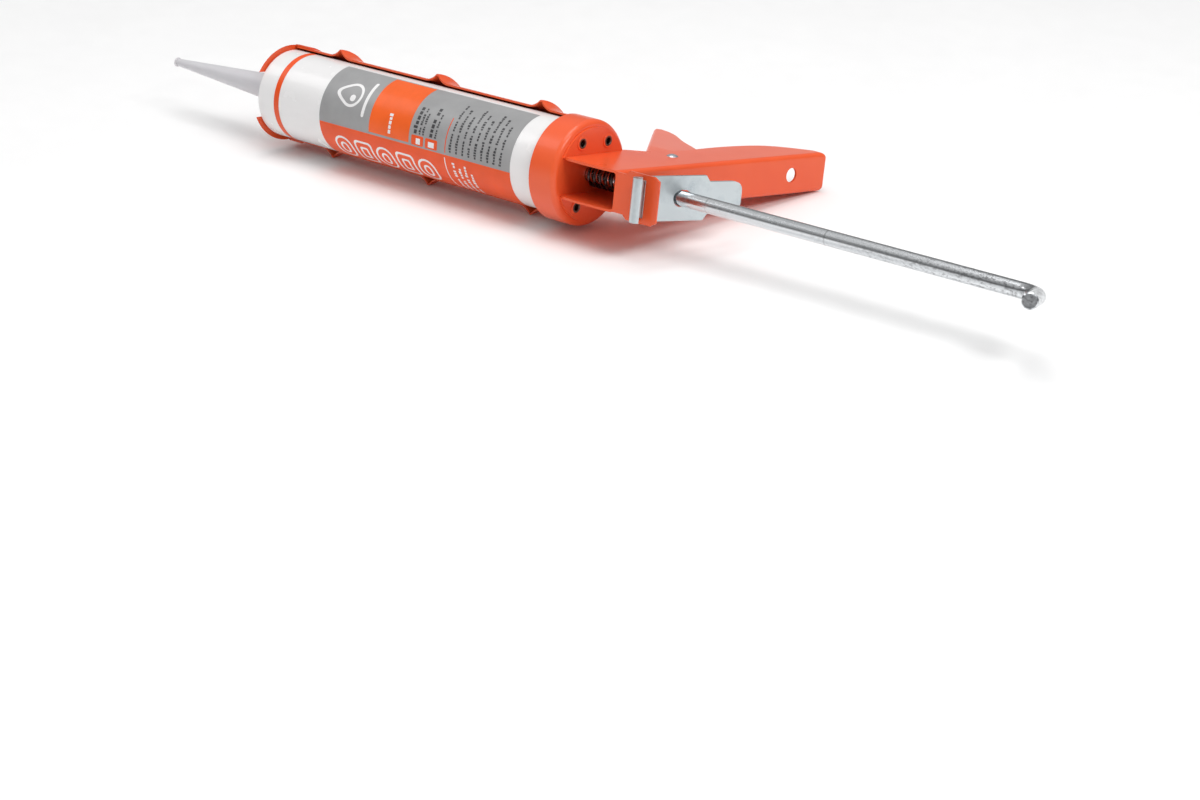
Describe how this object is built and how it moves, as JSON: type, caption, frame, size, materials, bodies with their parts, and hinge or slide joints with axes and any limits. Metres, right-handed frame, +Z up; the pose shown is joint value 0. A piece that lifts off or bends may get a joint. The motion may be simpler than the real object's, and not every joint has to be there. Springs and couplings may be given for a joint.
{
  "type": "caulking gun",
  "caption": "Half-barrel caulking gun with ribbed cradle, channel handle and trigger, smooth push rod, release lever and a sealant cartridge with tapered nozzle.",
  "frame": {"origin": "centre of the gun's box on the surface it lies on", "axes": "+X along the rod towards the nozzle, +Y towards the barrel's open side, +Z up; the gun lies on its side on its barrel ribs and a corner of its handle"},
  "size_m": [0.6192, 0.1678, 0.0616],
  "materials": {
    "painted_steel": "gloss",
    "zinc_plate": "satin",
    "rod_chrome": "polished",
    "spring_steel": "satin",
    "zinc_spring": "polished",
    "rivet_zinc": "satin",
    "dark_steel": "satin",
    "cartridge_plastic": "gloss",
    "plunger_plastic": "matte",
    "sealant": "matte",
    "nozzle_plastic": "satin"
  },
  "bodies": {
    "gun_frame": {"handle_frame": "painted_steel", "rear_cap": "painted_steel", "cap_eyelets": "painted_steel", "barrel_shell": "painted_steel", "front_collar": "painted_steel", "pivot_rivet": "rivet_zinc"},
    "trigger": {"trigger": "painted_steel"},
    "drive": {"drive_plate": "dark_steel", "drive_spring": "spring_steel"},
    "piston": {"piston_disc": "zinc_plate"},
    "push_rod": {"push_rod": "rod_chrome", "piston_washer": "zinc_plate", "piston_nut": "zinc_plate"},
    "release_lever": {"release_lever": "zinc_plate", "release_spring": "zinc_spring"},
    "cartridge": {"cartridge_tube": "cartridge_plastic", "sealant": "sealant"},
    "plunger": {"cartridge_plunger": "plunger_plastic"},
    "nozzle": {"nozzle": "nozzle_plastic"}
  },
  "joints": [
    {"name": "trigger_swing", "type": "hinge", "parent": "gun_frame", "child": "trigger", "pos_m": [-0.04469, 0.0147, 0.02545], "axis": [0, -0.15, 0.9887], "range_deg": [-28, 0], "stiffness_Nm_per_rad": 1.5, "springref_deg": 20.05},
    {"name": "drive_stroke", "type": "slide", "parent": "gun_frame", "child": "drive", "axis": [1, 0, 0], "range_m": [0, 0.0175], "deforming": ["drive_spring"]},
    {"name": "rod_slide", "type": "slide", "parent": "gun_frame", "child": "piston", "axis": [1, 0, 0], "range_m": [0, 0.195]},
    {"name": "rod_turn", "type": "hinge", "parent": "piston", "child": "push_rod", "pos_m": [-0.02189, 0.05257, 0.0312], "axis": [1, 0, 0], "continuous": true},
    {"name": "release_tilt", "type": "hinge", "parent": "gun_frame", "child": "release_lever", "pos_m": [-0.07589, 0.07432, 0.0345], "axis": [0, -0.15, 0.9887], "range_deg": [0, 8], "stiffness_Nm_per_rad": 0.8, "springref_deg": -14.32, "deforming": ["release_spring"]},
    {"name": "cartridge_lift", "type": "slide", "parent": "gun_frame", "child": "cartridge", "axis": [0, 0.9887, 0.15], "range_m": [0, 0.08]},
    {"name": "plunger_slide", "type": "slide", "parent": "cartridge", "child": "plunger", "axis": [1, 0, 0], "range_m": [0, 0.18401], "deforming": ["sealant"]},
    {"name": "nozzle_turn", "type": "hinge", "parent": "cartridge", "child": "nozzle", "pos_m": [0.22311, 0.05257, 0.0312], "axis": [1, 0, 0], "continuous": true}
  ],
  "couplings": [
    {"joint": "drive_stroke", "follows": "trigger_swing", "m_per_rad": -0.0352},
    {"joint": "plunger_slide", "follows": "rod_slide", "ratio": 0.9426}
  ]
}
